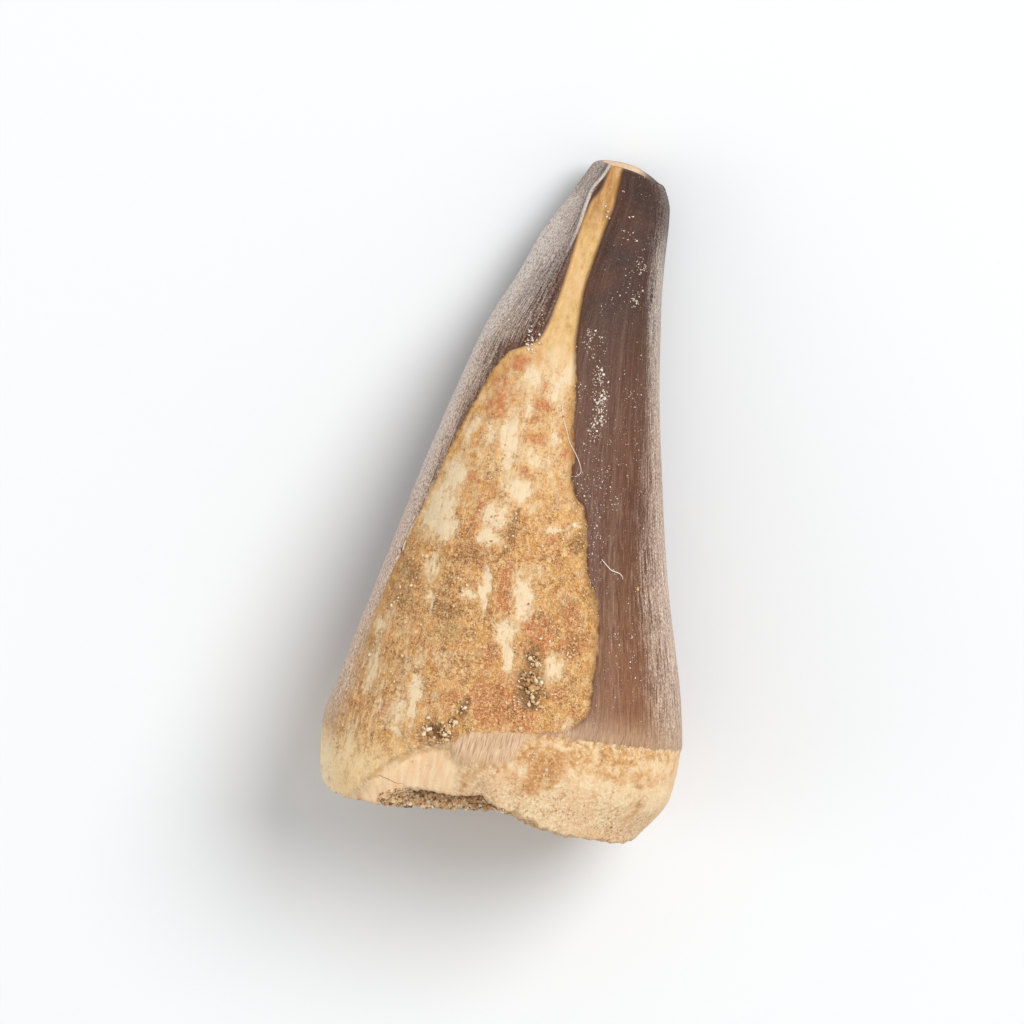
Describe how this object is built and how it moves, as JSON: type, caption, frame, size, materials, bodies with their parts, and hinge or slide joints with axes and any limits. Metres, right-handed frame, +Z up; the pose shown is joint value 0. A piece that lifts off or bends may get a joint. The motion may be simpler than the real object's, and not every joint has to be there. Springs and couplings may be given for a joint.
{
  "type": "fossil mosasaur tooth",
  "caption": "Fossil marine reptile tooth crown with worn tip, side ridge and broken root neck, its pulp cavity filled with sandy sediment; lies on its back for display.",
  "frame": {"origin": "bottom centre of the bounding box, on the surface that the tooth lies on", "axes": "+Y along the tooth from its broken base to its worn tip, +Z up through the face that looks up, +X to the right of that face"},
  "size_m": [0.024, 0.0454, 0.0186],
  "materials": {
    "tooth": "satin striated brown enamel over cream and ochre dentine",
    "sediment": "dull granular sandy matrix"
  },
  "bodies": {
    "root": {"tooth": "tooth", "cavity_sediment": "sediment"}
  },
  "joints": []
}
